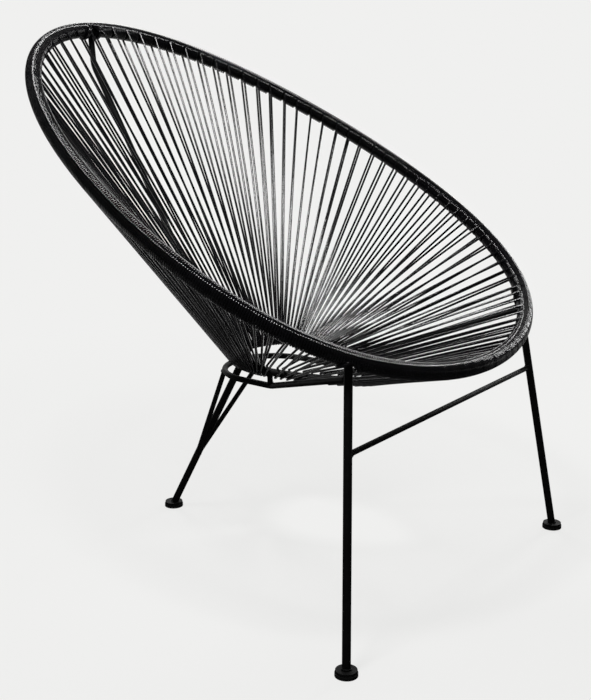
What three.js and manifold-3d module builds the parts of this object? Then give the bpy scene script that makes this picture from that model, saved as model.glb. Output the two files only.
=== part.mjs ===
// Acapulco lounge chair: a tilted egg-shaped steel hoop wound with cord, strung to a small seat
// ring in the middle, and carried by two front legs, one rear leg and a bent support rod.
// Millimetres, +Z up. The sitter looks along -Y. The origin is on the floor, under the middle of
// the overall box. Left and right are the sitter's own, so left is +X.
import * as THREE from 'three';
import { mergeVertices } from 'three/addons/utils/BufferGeometryUtils.js';
import Module from 'manifold-3d';

const wasm = await Module();
wasm.setup();

// Driving dimensions
const fitGap = 0.3; // running gap kept between pieces that touch

const rimTubeDiameter = 18;
const rimHalfLength = 449; // centreline, from the middle to the top, along the tilted plane
const rimHalfWidth = 364.2;
const rimLift = 8; // how far the top bows up out of the plane and the front bows down
const rimCentreHeight = 594;
const rimTilt = THREE.MathUtils.degToRad(29);
const rimOutlineShares = [-0.1535, 0.044, -0.0046]; // egg outline: cosines of 1, 2 and 3 turns

const ringRodDiameter = 12;
const ringHalfWidth = 88;
const ringHalfLength = 129;
const ringCentreDepth = -76.5;
const ringRise = 26; // from the base loop up to the ring's centre
const ringTilt = THREE.MathUtils.degToRad(2.8);
const ringEggShare = 0.36; // how much wider the ring is at the back than in front

const cordDiameter = 3.6;
const cordPairs = 100;
const panelCount = 20;
const pairSpread = 1.85; // between the two strands of one pair where they leave the hoop
const rimCrowdShare = 0.139; // how much wider apart the pairs stand at the top than evenly
const ringCrowdShares = [-0.68, 0.165, -0.05]; // how the pairs gather at the back of the ring
const cordLeast = 4.5; // least distance between neighbouring cords on the ring
const postShift = 5.6; // how far a ring post pushes the nearest cords aside
const postShiftReach = 30;
const cordRoot = 3; // where a strand comes out of the winding, from its tangent point

const legDiameter = 12;
const frontFootHalfSpan = 310.5;
const frontFootDepth = -358.9;
const frontLegRimAngle = THREE.MathUtils.degToRad(144.2); // from the top of the hoop
const frontLegInset = 6.1; // the leg ends this far behind the hoop tube's centreline
const frontLegDrop = 5.4; // and this far below it
const rearFootDepth = 224.5;
const rearLegTopInset = 1.4; // the leg's end lies this far in front of the ring's rear end

const stretcherDiameter = 8;
const stretcherHeight = 289.3;

const loopDiameter = 9.5;
const loopHeight = 291.5;
const loopHalfWidth = 79;
const loopCornerDepth = -56;
const loopBendRadius = 25;
const loopArmHeight = 387.2; // where the arms meet the front legs

const spineDiameter = 10;
const spineTopInset = 4.3;
const spineTopDrop = 6.7;
const spineUpperDepth = 380.5;
const spineUpperHeight = 761;
const spineUpperBend = 45;
const spineLowerDepth = 150;
const spineLowerHeight = 380;
const spineLowerBend = 60;

const braceDiameter = 8;
const braceFootHeight = 106;
const braceLoopAngle = THREE.MathUtils.degToRad(40); // from the rearmost point of the loop

const postDiameter = 8.6;
const postRingAngle = THREE.MathUtils.degToRad(84);

const padDiameter = 32;
const padHeight = 5;
const plateDiameter = 30;
const plateHeight = 4;
const footEdgeRadius = 1.5;

// Fineness of the faceted surfaces
const hoopSteps = 60;
const hoopSides = 8;
const windingSides = 10;
const rodSides = 12;
const ringSteps = 56;
const ringSides = 10;
const cordSides = 5;
const hairpinSteps = 3;
const bendSteps = 4;
const loopTurnSteps = 12;
const footSides = 20;
const edgeSteps = 2;

const at = (x, y, z) => new THREE.Vector3(x, y, z);

// Paths

class HoopCurve extends THREE.Curve {
  getPoint(t, target = new THREE.Vector3()) {
    const turn = 2 * Math.PI * t;
    const outline = rimOutlineShares.reduce((sum, share, i) => sum + share * Math.cos((i + 1) * turn), 1);
    const along = rimHalfLength * Math.cos(turn);
    const lift = rimLift * Math.cos(turn) ** 3;
    return target.set(
      rimHalfWidth * Math.sin(turn) * outline,
      along * Math.cos(rimTilt) - lift * Math.sin(rimTilt),
      rimCentreHeight + along * Math.sin(rimTilt) + lift * Math.cos(rimTilt),
    );
  }
}

class RingCurve extends THREE.Curve {
  getPoint(t, target = new THREE.Vector3()) {
    const turn = 2 * Math.PI * t;
    const along = ringHalfLength * Math.cos(turn);
    return target.set(
      ringHalfWidth * Math.sin(turn) * (1 + ringEggShare * Math.cos(turn)),
      ringCentreDepth + along * Math.cos(ringTilt),
      loopHeight + ringRise + along * Math.sin(ringTilt),
    );
  }
}

// A path whose rings stand exactly at its knots, so that a straight stretch takes one step.
class KnotPath extends THREE.Curve {
  constructor(knots, frames = null) {
    super();
    this.knots = knots;
    this.frames = frames;
  }

  getPoint(t, target = new THREE.Vector3()) {
    const place = t * (this.knots.length - 1);
    const index = Math.min(Math.floor(place), this.knots.length - 2);
    return target.copy(this.knots[index]).lerp(this.knots[index + 1], place - index);
  }

  getUtoTmapping(u) {
    return u;
  }

  getTangent(t, target = new THREE.Vector3()) {
    const index = Math.round(t * (this.knots.length - 1));
    const here = this.knots[index];
    const before = this.knots[index - 1] ?? here;
    const after = this.knots[index + 1] ?? here;
    const arriving = here.clone().sub(before).normalize();
    const leaving = after.clone().sub(here).normalize();
    return target.copy(arriving).add(leaving).normalize();
  }

  computeFrenetFrames(segments, closed) {
    return this.frames ?? super.computeFrenetFrames(segments, closed);
  }
}

const hoop = new HoopCurve();
const ring = new RingCurve();
const hoopLength = hoop.getLength();
const ringLength = ring.getLength();

// The path along a tilted loop through the given places on it. Its sections are turned to face up
// out of the loop's plane, so that a tube and what is wound on it have their facets in line.
function tiltedPath(curve, tilt, places) {
  const planeNormal = at(0, -Math.sin(tilt), Math.cos(tilt));
  const frames = { tangents: [], normals: [], binormals: [] };
  for (const place of places) {
    const tangent = curve.getTangent(place);
    const binormal = tangent.clone().cross(planeNormal).normalize();
    frames.tangents.push(tangent);
    frames.normals.push(binormal.clone().cross(tangent));
    frames.binormals.push(binormal);
  }
  return new KnotPath(places.map((place) => curve.getPoint(place)), frames);
}

// Where a share of the cord pairs, counted from the top, has been strung: a share of the hoop's
// length. The pairs stand wider apart at the top than in front.
function strungShare(share) {
  return share + rimCrowdShare / (2 * Math.PI) * Math.sin(2 * Math.PI * share);
}

// The path along the hoop through the given shares of its length.
function hoopPath(shares) {
  return tiltedPath(hoop, rimTilt, shares.map((share) => hoop.getUtoTmapping(share)));
}

function sideways(point, side) {
  return at(point.x * side, point.y, point.z);
}

// The point of a straight rod's axis that lies at a given height.
function pointAtHeight([foot, top], height) {
  return foot.clone().lerp(top, (height - foot.z) / (top.z - foot.z));
}

// Knots of a rod that runs through the corners, each corner but the ends bent to its radius.
function bentKnots(corners, radii) {
  const knots = [corners[0]];
  for (let i = 1; i < corners.length - 1; i += 1) {
    const back = corners[i - 1].clone().sub(corners[i]).normalize();
    const ahead = corners[i + 1].clone().sub(corners[i]).normalize();
    const half = back.angleTo(ahead) / 2;
    const middle = back.clone().add(ahead).normalize();
    const centre = corners[i].clone().addScaledVector(middle, radii[i - 1] / Math.sin(half));
    const start = corners[i].clone().addScaledVector(back, radii[i - 1] / Math.tan(half)).sub(centre);
    const turnAxis = start.clone().cross(middle.clone().negate()).normalize();
    const turn = Math.PI - 2 * half;
    for (let step = 0; step <= bendSteps; step += 1) {
      knots.push(start.clone().applyAxisAngle(turnAxis, turn * step / bendSteps).add(centre));
    }
  }
  knots.push(corners.at(-1));
  return knots;
}

// Solids

function toSolid(geometry) {
  const bare = geometry.clone();
  bare.deleteAttribute('normal');
  bare.deleteAttribute('uv');
  const merged = mergeVertices(bare);
  const vertProperties = merged.attributes.position.array;
  const triVerts = Uint32Array.from(merged.index.array);
  return new wasm.Manifold(new wasm.Mesh({ numProp: 3, vertProperties, triVerts }));
}

function toGeometry(solid) {
  const { vertProperties, triVerts } = solid.getMesh();
  const geometry = new THREE.BufferGeometry();
  geometry.setAttribute('position', new THREE.BufferAttribute(vertProperties, 3));
  geometry.setIndex(new THREE.BufferAttribute(triVerts, 1));
  geometry.computeVertexNormals();
  return geometry;
}

// The corners of a regular section.
function sectionPoints(radius, sides) {
  const points = [];
  for (let i = 0; i < sides; i += 1) {
    const angle = 2 * Math.PI * i / sides;
    points.push(new THREE.Vector2(radius * Math.cos(angle), radius * Math.sin(angle)));
  }
  return points;
}

function sweep(path, section) {
  const steps = path.knots.length - 1;
  return new THREE.ExtrudeGeometry(section, { steps, bevelEnabled: false, extrudePath: path });
}

function rod(knots, diameter, sides = rodSides) {
  const section = new THREE.Shape(sectionPoints(diameter / 2, sides));
  return toSolid(sweep(new KnotPath(knots), section));
}

// The diameter of the space that a rod takes with its running gap, at the corners of its section.
const spaceDiameter = (diameter, sides) => (diameter + 2 * fitGap) / Math.cos(Math.PI / sides);

// That space itself: what is cut from a piece that ends on the rod.
function rodSpace(knots, diameter) {
  return rod(knots, spaceDiameter(diameter, rodSides));
}

function disc(profile) {
  const geometry = new THREE.LatheGeometry(profile, footSides);
  geometry.rotateX(Math.PI / 2);
  return geometry;
}

// Frame: where every rod runs

const hoopTop = hoop.getPoint(0);
const legOnHoop = hoop.getPoint(frontLegRimAngle / (2 * Math.PI)).add(at(0, frontLegInset, -frontLegDrop));
const footTop = padHeight + plateHeight;
const frontLegLine = (side) => [
  at(side * frontFootHalfSpan, frontFootDepth, footTop / 2),
  sideways(legOnHoop, side),
];

const ringRear = ring.getPoint(0);
const rearLegLine = [
  at(0, rearFootDepth, footTop / 2),
  at(0, ringRear.y - rearLegTopInset, ringRear.z - ringRodDiameter / 2),
];

const stretcherKnots = [-1, 1].map((side) => pointAtHeight(frontLegLine(side), stretcherHeight));

// The loop's turn passes behind the rear leg, and the leg rests against its inside.
const rearLegLean = rearLegLine[1].clone().sub(rearLegLine[0]).normalize();
const loopBehindLeg = (legDiameter / 2 + loopDiameter / 2 + fitGap) / rearLegLean.z;
const loopRearDepth = pointAtHeight(rearLegLine, loopHeight).y + loopBehindLeg;
const loopTurnDepth = loopRearDepth - loopHalfWidth;

function loopTurnPoint(angle) {
  return at(
    loopHalfWidth * Math.sin(angle),
    loopTurnDepth + loopHalfWidth * Math.cos(angle),
    loopHeight,
  );
}

function loopArmKnots(side) {
  const corner = at(side * loopHalfWidth, loopCornerDepth, loopHeight);
  const onLeg = pointAtHeight(frontLegLine(side), loopArmHeight);
  return bentKnots([onLeg, corner, loopTurnPoint(side * Math.PI / 2)], [loopBendRadius]);
}

function loopKnots() {
  const turn = [];
  for (let i = 1; i < loopTurnSteps; i += 1) {
    turn.push(loopTurnPoint(Math.PI * (i / loopTurnSteps - 1 / 2)));
  }
  return [...loopArmKnots(-1), ...turn, ...loopArmKnots(1).reverse()];
}

const spineKnots = bentKnots([
  at(0, hoopTop.y - spineTopInset, hoopTop.z - spineTopDrop),
  at(0, spineUpperDepth, spineUpperHeight),
  at(0, spineLowerDepth, spineLowerHeight),
  ringRear,
], [spineUpperBend, spineLowerBend]);

const braceKnots = (side) => [
  pointAtHeight(rearLegLine, braceFootHeight),
  loopTurnPoint(side * braceLoopAngle),
];

function postKnots(side) {
  const bend = loopArmKnots(side);
  const onLoop = bend[1 + bendSteps / 2];
  return [ring.getPoint(side * postRingAngle / (2 * Math.PI) + (side < 0 ? 1 : 0)), onLoop];
}

// Frame: solids

const ringPlacesAround = Array.from({ length: ringSteps + 1 }, (_, i) => i / ringSteps);
const ringPath = tiltedPath(ring, ringTilt, ringPlacesAround);
const ringSolid = (diameter) => toSolid(
  new THREE.TubeGeometry(ringPath, ringSteps, diameter / 2, ringSides, true),
);
const hoopShares = Array.from({ length: hoopSteps + 1 }, (_, i) => strungShare(i / hoopSteps));
const hoopSolid = (diameter) => toSolid(
  new THREE.TubeGeometry(hoopPath(hoopShares), hoopSteps, diameter / 2, hoopSides, true),
);
const ringSpace = ringSolid(spaceDiameter(ringRodDiameter, ringSides));
const hoopSpace = hoopSolid(spaceDiameter(rimTubeDiameter, hoopSides));

function footSpace(x, y) {
  const height = footTop + fitGap;
  const geometry = new THREE.CylinderGeometry(plateDiameter / 2, plateDiameter / 2, height, footSides);
  geometry.rotateX(Math.PI / 2);
  geometry.translate(x, y, height / 2);
  return toSolid(geometry);
}

function frontLeg(side) {
  const foot = footSpace(side * frontFootHalfSpan, frontFootDepth);
  return rod(frontLegLine(side), legDiameter).subtract(hoopSpace).subtract(foot);
}

function rearLeg() {
  const foot = footSpace(0, rearFootDepth);
  return rod(rearLegLine, legDiameter).subtract(ringSpace).subtract(foot);
}

const legSpace = (side) => rodSpace(frontLegLine(side), legDiameter);
const rearLegSpace = rodSpace(rearLegLine, legDiameter);
const loopSpace = rodSpace(loopKnots(), loopDiameter);

function stretcher() {
  return rod(stretcherKnots, stretcherDiameter).subtract(legSpace(-1)).subtract(legSpace(1));
}

function baseLoop() {
  return rod(loopKnots(), loopDiameter)
    .subtract(legSpace(-1))
    .subtract(legSpace(1))
    .subtract(rearLegSpace);
}

function backSpine() {
  return rod(spineKnots, spineDiameter).subtract(hoopSpace).subtract(ringSpace);
}

function rearBrace(side) {
  return rod(braceKnots(side), braceDiameter).subtract(rearLegSpace).subtract(loopSpace);
}

function ringPost(side) {
  return rod(postKnots(side), postDiameter).subtract(ringSpace).subtract(loopSpace);
}

// Feet: a steel plate welded under the leg, on a rubber pad a little wider

function edgeArc(radius, height, direction) {
  const points = [];
  for (let i = 0; i <= edgeSteps; i += 1) {
    const angle = Math.PI / 2 * i / edgeSteps;
    const out = radius - footEdgeRadius * (1 - Math.cos(angle));
    points.push(new THREE.Vector2(out, height + direction * footEdgeRadius * (Math.sin(angle) - 1)));
  }
  return points;
}

function footPlate(x, y) {
  const bottom = padHeight + fitGap;
  const geometry = disc([
    new THREE.Vector2(0, bottom),
    new THREE.Vector2(plateDiameter / 2, bottom),
    ...edgeArc(plateDiameter / 2, footTop, 1),
    new THREE.Vector2(0, footTop),
  ]);
  return geometry.translate(x, y, 0);
}

function footPad(x, y) {
  const geometry = disc([
    new THREE.Vector2(0, 0),
    new THREE.Vector2(padDiameter / 2, 0),
    ...edgeArc(padDiameter / 2, padHeight, 1),
    new THREE.Vector2(0, padHeight),
  ]);
  return geometry.translate(x, y, 0);
}

// Cord: pairs of strands strung as hairpins round the seat ring, and the winding on the hoop

const windingDiameter = rimTubeDiameter + 2 * cordDiameter;
const windingMiddle = (windingDiameter + rimTubeDiameter + 2 * fitGap) / 4;
const hairpinRadius = (ringRodDiameter + cordDiameter + 2 * fitGap) / 2
  / Math.cos(Math.PI / (2 * hairpinSteps));

const pairShare = (pair) => (pair + 1 / 2) / cordPairs;

// Where each pair stands on the ring, as a length from its rear end, for one half of the chair:
// gathered at the back by the formula, side by side where they crowd, and clear of the rods.
function ringPlaces() {
  const lengths = ring.getLengths(4 * cordPairs);
  const lengthAt = (turn) => {
    const place = turn / (2 * Math.PI) * (lengths.length - 1);
    const index = Math.floor(place);
    return THREE.MathUtils.lerp(lengths[index], lengths[index + 1], place - index);
  };
  const post = lengthAt(postRingAngle);
  const places = [];
  let least = (legDiameter + cordDiameter) / 2 + 2 * fitGap;
  for (let pair = 0; pair < cordPairs / 2; pair += 1) {
    const turn = 2 * Math.PI * pairShare(pair);
    const crowding = ringCrowdShares.reduce((sum, share, i) => sum + share * Math.sin((i + 1) * turn), 0);
    const place = lengthAt(turn + crowding);
    const aside = Math.sign(place - post) * postShift * Math.exp(-Math.abs(place - post) / postShiftReach);
    places.push(Math.max(place + aside, least));
    least = places.at(-1) + cordLeast;
  }
  return places;
}

const halfRingPlaces = ringPlaces();

function ringShare(pair) {
  const mirrored = cordPairs - 1 - pair;
  const share = halfRingPlaces[Math.min(pair, mirrored)] / ringLength;
  return pair < mirrored ? share : 1 - share;
}

// The centreline of one hairpin: over the ring from the top of the winding, round the ring's
// inner side, and back underneath to the bottom of the winding.
function hairpinKnots(pair) {
  const onHoop = strungShare(pairShare(pair));
  const onRing = ringShare(pair);
  const turnCentre = ring.getPointAt(onRing);
  const ringAlong = ring.getTangentAt(onRing);
  const strand = (layer) => {
    const share = onHoop - layer * pairSpread / 2 / hoopLength;
    const centre = hoop.getPointAt(share);
    const inward = turnCentre.clone().sub(centre).normalize();
    const normal = inward.clone().cross(hoop.getTangentAt(share)).normalize();
    normal.multiplyScalar(layer * Math.sign(normal.z) * windingMiddle);
    return centre.add(normal).addScaledVector(inward, cordRoot);
  };
  const over = strand(1);
  const under = strand(-1);
  const inward = turnCentre.clone().sub(over.clone().add(under).divideScalar(2)).normalize();
  const up = inward.clone().cross(ringAlong).normalize();
  up.multiplyScalar(Math.sign(up.z));
  const inner = ringAlong.clone().cross(up);
  inner.multiplyScalar(Math.sign(inner.dot(inward)));
  const knots = [over];
  for (let step = 0; step <= hairpinSteps; step += 1) {
    const angle = Math.PI * step / hairpinSteps;
    knots.push(turnCentre.clone()
      .addScaledVector(up, hairpinRadius * Math.cos(angle))
      .addScaledVector(inner, hairpinRadius * Math.sin(angle)));
  }
  knots.push(under);
  return knots;
}

// The winding on one stretch of the hoop: many close turns of cord, as their outer shape.
function windingSection() {
  const section = new THREE.Shape(sectionPoints(windingDiameter / 2, windingSides));
  const bore = sectionPoints(rimTubeDiameter / 2 + fitGap, hoopSides).reverse();
  section.holes.push(new THREE.Path(bore));
  return section;
}

function windingSleeve(panel) {
  const stepsEach = hoopSteps / panelCount;
  const endGap = fitGap / 2 / hoopLength;
  const shares = hoopShares.slice(panel * stepsEach, (panel + 1) * stepsEach + 1);
  shares[0] += endGap;
  shares[stepsEach] -= endGap;
  return toSolid(sweep(hoopPath(shares), windingSection()));
}

const frameSpaces = [
  legSpace(-1),
  legSpace(1),
  loopSpace,
  rodSpace(spineKnots, spineDiameter),
  rearLegSpace,
  rodSpace(postKnots(1), postDiameter),
  rodSpace(postKnots(-1), postDiameter),
];

function cordPanel(panel) {
  const pairsEach = cordPairs / panelCount;
  let solid = windingSleeve(panel);
  for (let pair = panel * pairsEach; pair < (panel + 1) * pairsEach; pair += 1) {
    solid = solid.add(rod(hairpinKnots(pair), cordDiameter, cordSides));
  }
  for (const space of frameSpaces) {
    solid = solid.subtract(space);
  }
  return solid;
}

// The least gap between the cord's runs, measured between points along their centrelines.
function leastCordGap() {
  const samples = 24;
  const runs = [];
  for (let pair = 0; pair < cordPairs; pair += 1) {
    const path = new THREE.CurvePath();
    const knots = hairpinKnots(pair);
    for (let i = 0; i + 1 < knots.length; i += 1) {
      path.add(new THREE.LineCurve3(knots[i], knots[i + 1]));
    }
    runs.push(path.getSpacedPoints(samples * hairpinSteps));
  }
  let least = Infinity;
  runs.forEach((run, pair) => {
    const next = runs[(pair + 1) % cordPairs];
    for (const point of run) {
      for (const other of next) {
        least = Math.min(least, point.distanceTo(other) - cordDiameter);
      }
    }
    for (let i = 0; i < samples; i += 1) {
      least = Math.min(least, run[i].distanceTo(run.at(-1 - i)) - cordDiameter);
    }
  });
  return least;
}

// Assembly

const steel = () => new THREE.MeshStandardMaterial({ color: 0x131313, roughness: 0.5, metalness: 0.4 });
const cord = () => new THREE.MeshStandardMaterial({ color: 0x0c0c0e, roughness: 0.28, metalness: 0 });
const rubber = () => new THREE.MeshStandardMaterial({ color: 0x0d0d0d, roughness: 0.8, metalness: 0 });

const chair = new THREE.Group();

function addPiece(name, geometry, material) {
  const mesh = new THREE.Mesh(geometry, material);
  mesh.name = name;
  chair.add(mesh);
}

addPiece('rim_hoop', toGeometry(hoopSolid(rimTubeDiameter)), steel());
addPiece('seat_ring', toGeometry(ringSolid(ringRodDiameter)), steel());
addPiece('back_spine', toGeometry(backSpine()), steel());
addPiece('base_loop', toGeometry(baseLoop()), steel());
addPiece('front_stretcher', toGeometry(stretcher()), steel());
addPiece('rear_leg', toGeometry(rearLeg()), steel());

const sides = [['left', 1], ['right', -1]];
for (const [name, side] of sides) {
  addPiece(`front_leg_${name}`, toGeometry(frontLeg(side)), steel());
  addPiece(`rear_brace_${name}`, toGeometry(rearBrace(side)), steel());
  addPiece(`ring_post_${name}`, toGeometry(ringPost(side)), steel());
}

const feet = [
  ['front_left', frontFootHalfSpan, frontFootDepth],
  ['front_right', -frontFootHalfSpan, frontFootDepth],
  ['rear', 0, rearFootDepth],
];
for (const [name, x, y] of feet) {
  addPiece(`foot_plate_${name}`, footPlate(x, y), steel());
  addPiece(`foot_pad_${name}`, footPad(x, y), rubber());
}

for (let panel = 0; panel < panelCount; panel += 1) {
  const name = `cord_panel_${String(panel + 1).padStart(2, '0')}`;
  addPiece(name, toGeometry(cordPanel(panel)), cord());
}

console.log(`least gap between runs of cord: ${leastCordGap().toFixed(2)} mm`);

export default chair;
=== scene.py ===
"""Acapulco lounge chair: a wound and strung egg-shaped hoop on three thin steel legs."""

import math

import bpy
import numpy as np
from bpy.props import FloatProperty, FloatVectorProperty, IntProperty, PointerProperty
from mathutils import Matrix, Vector


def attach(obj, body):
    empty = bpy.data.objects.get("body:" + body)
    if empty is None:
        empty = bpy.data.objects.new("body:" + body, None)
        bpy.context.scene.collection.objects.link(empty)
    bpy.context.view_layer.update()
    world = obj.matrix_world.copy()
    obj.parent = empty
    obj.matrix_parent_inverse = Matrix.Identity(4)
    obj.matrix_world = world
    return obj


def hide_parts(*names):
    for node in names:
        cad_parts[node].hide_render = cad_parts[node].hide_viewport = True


bl_info = {
    "name": "Strung lounge chair",
    "version": (1, 0, 0),
    "blender": (4, 5, 0),
    "location": "3D View > Sidebar > Chair",
    "description": "Builds a cord-strung hoop chair, its finishes and its studio",
    "category": "Object",
}

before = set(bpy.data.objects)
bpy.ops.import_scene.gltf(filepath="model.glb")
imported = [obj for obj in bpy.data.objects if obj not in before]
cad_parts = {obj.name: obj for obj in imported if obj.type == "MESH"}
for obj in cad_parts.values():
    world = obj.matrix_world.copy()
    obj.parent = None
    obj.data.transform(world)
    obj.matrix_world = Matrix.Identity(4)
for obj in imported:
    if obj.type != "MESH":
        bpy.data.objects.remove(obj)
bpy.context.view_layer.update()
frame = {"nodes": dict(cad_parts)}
SIDES = {"left": 1, "right": -1}
ROD_SIDES = 24
BEND_STEPS = 8
LOOP_TURN_STEPS = 36
HOOP_SECTIONS = 144
RING_SECTIONS = 96
CORD_SIDES = 8
STEPS_PER_TURN = 24
HOOK_STEPS = 10


# Sizes and colours


def length(name, description, default):
    return FloatProperty(name=name, description=description, default=default, unit="LENGTH", precision=5)


def lengths(name, description, default):
    return FloatVectorProperty(
        name=name, description=description, default=default, size=len(default), unit="LENGTH", precision=4
    )


def angle(name, description, degrees):
    return FloatProperty(name=name, description=description, default=math.radians(degrees), subtype="ANGLE")


def share(name, description, default):
    return FloatProperty(name=name, description=description, default=default, precision=4)


def shares(name, description, default):
    return FloatVectorProperty(
        name=name, description=description, default=default, size=len(default), precision=4
    )


def direction(name, description, default):
    return FloatVectorProperty(
        name=name, description=description, default=default, size=3, subtype="DIRECTION"
    )


def power(name, description, default):
    return FloatProperty(name=name, description=description, default=default, unit="POWER")


def colour(name, description, default):
    return FloatVectorProperty(
        name=name, description=description, default=default, size=3, subtype="COLOR", min=0, max=1
    )


class HoopSizes(bpy.types.PropertyGroup):
    """The big egg-shaped hoop."""

    tube_diameter: length("Tube", "Diameter of the steel tube", 0.018)
    half_length: length("Half length", "From the middle to the top, along the tilted plane", 0.449)
    half_width: length("Half width", "Sideways from the middle, before the egg outline", 0.3642)
    lift: length("Lift", "How far the top bows up and the front bows down", 0.008)
    centre_height: length("Centre height", "Height of the middle above the floor", 0.594)
    tilt: angle("Tilt", "How far the hoop leans back", 29)
    outline: shares(
        "Outline", "Egg outline: shares of the cosines of one, two and three turns", (-0.1535, 0.044, -0.0046)
    )


class RingSizes(bpy.types.PropertyGroup):
    """The small ring under the seat that the strands turn round."""

    rod_diameter: length("Rod", "Diameter of the ring's rod", 0.012)
    half_width: length("Half width", "Sideways from the middle, before the egg outline", 0.088)
    half_length: length("Half length", "From the middle to the rear", 0.129)
    centre_depth: length("Centre depth", "Middle of the ring, from front to back", -0.0765)
    rise: length("Rise", "From the base loop up to the ring's middle", 0.026)
    tilt: angle("Tilt", "How far the ring's rear end is raised", 2.8)
    egg_share: share("Egg share", "How much wider the ring is at the back than in front", 0.36)


class CordSizes(bpy.types.PropertyGroup):
    """The cord, its turns on the hoop and its strands."""

    diameter: length("Cord", "Diameter of the cord", 0.0036)
    turn_pitch: length("Turn pitch", "From one turn on the hoop to the next", 0.00368)
    pairs: IntProperty(name="Pairs", description="Pairs of strands", default=100, min=20)
    panels: IntProperty(name="Panels", description="Pieces that the cord is made in", default=20, min=4)
    rim_crowding: share("Rim crowding", "How much wider apart the pairs stand at the top", 0.139)
    ring_crowding: shares("Ring crowding", "How the pairs gather at the ring's back", (-0.68, 0.165, -0.05))
    least_spacing: length("Least spacing", "Between neighbouring pairs on the ring", 0.0045)
    rod_room: length("Room beside a rod", "Between a rod and the cord beside it", 0.0006)
    post_shift: length("Post shift", "How far a ring post pushes the nearest cords aside", 0.0056)
    post_reach: length("Post reach", "How far along the ring that push fades", 0.03)
    hook_room: length("Hook room", "Between the ring and the cord that turns round it", 0.00005)
    hook_lead: length("Hook lead", "From that turn to where the strand runs straight", 0.007)
    strand_steps: lengths(
        "Strand steps", "From the winding to the first points of a strand", (0.004, 0.02, 0.06)
    )
    step_reach: share("Step reach", "In turns, how near a rod's crossing the cord has stepped aside", 0.3)
    step_length: share("Step length", "In turns, how long it takes to step aside", 0.18)
    lap_height: share("Lap height", "How far a turn stands over another, in diameters", 1.01)
    butt_room: share("Butt room", "In turns, from a panel's end to the middle of the joint", 0.001)


class FrameSizes(bpy.types.PropertyGroup):
    """Legs, supports and feet."""

    leg_diameter: length("Leg", "Diameter of the three legs", 0.012)
    foot_half_span: length("Front feet half span", "Sideways from the middle to a front foot", 0.3105)
    front_foot_depth: length("Front foot depth", "Front feet, from front to back", -0.3589)
    leg_rim_angle: angle("Leg on the hoop", "From the top of the hoop round to a front leg", 144.2)
    leg_inset: length("Leg inset", "The leg ends this far behind the tube's middle", 0.0061)
    leg_drop: length("Leg drop", "The leg ends this far below the tube's middle", 0.0054)
    rear_foot_depth: length("Rear foot depth", "Rear foot, from front to back", 0.2245)
    rear_leg_inset: length("Rear leg inset", "The leg's end, in front of the ring's rear end", 0.0014)
    stretcher_diameter: length("Stretcher", "Diameter of the rod between the front legs", 0.008)
    stretcher_height: length("Stretcher height", "Height above the floor", 0.2893)
    loop_diameter: length("Loop", "Diameter of the base loop", 0.0095)
    loop_height: length("Loop height", "Height above the floor", 0.2915)
    loop_half_width: length("Loop half width", "Radius of the loop's turn", 0.079)
    loop_corner_depth: length("Loop corner depth", "Where the loop's arms turn outwards", -0.056)
    loop_bend: length("Loop bend", "Radius at the corners", 0.025)
    loop_arm_height: length("Loop arm height", "Where the arms meet the front legs", 0.3872)
    spine_diameter: length("Spine", "Diameter of the rod behind the back", 0.01)
    spine_top_inset: length("Spine top inset", "Its end, in front of the hoop's middle", 0.0043)
    spine_top_drop: length("Spine top drop", "Its end, below the hoop's middle", 0.0067)
    spine_upper: lengths("Spine upper bend", "Depth and height", (0.3805, 0.761))
    spine_upper_bend: length("Spine upper radius", "Radius of the upper bend", 0.045)
    spine_lower: lengths("Spine lower bend", "Depth and height", (0.15, 0.38))
    spine_lower_bend: length("Spine lower radius", "Radius of the lower bend", 0.06)
    brace_diameter: length("Brace", "Diameter of the two rear braces", 0.008)
    brace_foot_height: length("Brace foot", "Height at which the braces meet the rear leg", 0.106)
    brace_loop_angle: angle("Brace on the loop", "From the rearmost point of the loop", 40)
    post_diameter: length("Post", "Diameter of the two ring posts", 0.0086)
    post_ring_angle: angle("Post on the ring", "From the ring's rear end", 84)
    weld_height: length("Weld", "Height of a weld bead", 0.0013)
    weld_drop: length("Weld drop", "The rear leg's upper bead lies this far below its end", 0.001)
    leg_seat: length("Leg seat", "How far a leg reaches into its plate", 0.0005)
    end_rounding: length("End rounding", "Radius at the cut ends of the rods", 0.0006)


class FootSizes(bpy.types.PropertyGroup):
    """The steel plate under each leg and the rubber pad under that."""

    pad_diameter: length("Pad", "Diameter of the rubber pad", 0.032)
    pad_height: length("Pad height", "Thickness of the rubber pad", 0.005)
    plate_diameter: length("Plate", "Diameter of the steel plate", 0.03)
    plate_height: length("Plate height", "Thickness of the steel plate", 0.004)
    gap: length("Gap", "Between plate and pad", 0.0003)
    edge_radius: length("Edge radius", "Rounding of the plate's and the pad's rims", 0.0015)
    recess_rim: length("Recess rim", "Flat rim round the recess below", 0.002)
    recess_wall: length("Recess wall", "Slope of the recess, sideways", 0.0006)
    recess_depth: length("Recess depth", "Depth of the recess", 0.0008)


class Finishes(bpy.types.PropertyGroup):
    """Colours and gloss."""

    cord: colour("Cord", "Black vinyl cord", (0.0028, 0.0028, 0.0034))
    cord_dust: colour("Cord dust", "Where the cord is a little greyer", (0.006, 0.006, 0.007))
    cord_roughness: share("Cord roughness", "Gloss of the cord", 0.08)
    coat: colour("Powder coat", "Black powder coat on the steel", (0.0028, 0.0028, 0.0029))
    coat_worn: colour("Rubbed coat", "Where the coat is thin", (0.0055, 0.0055, 0.0057))
    coat_roughness: share("Coat roughness", "Gloss of the powder coat", 0.52)
    rubber: colour("Rubber", "Black rubber pads", (0.0035, 0.0035, 0.0037))
    rubber_grey: colour("Scuffed rubber", "Where the rubber is scuffed", (0.012, 0.0118, 0.0115))


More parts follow.
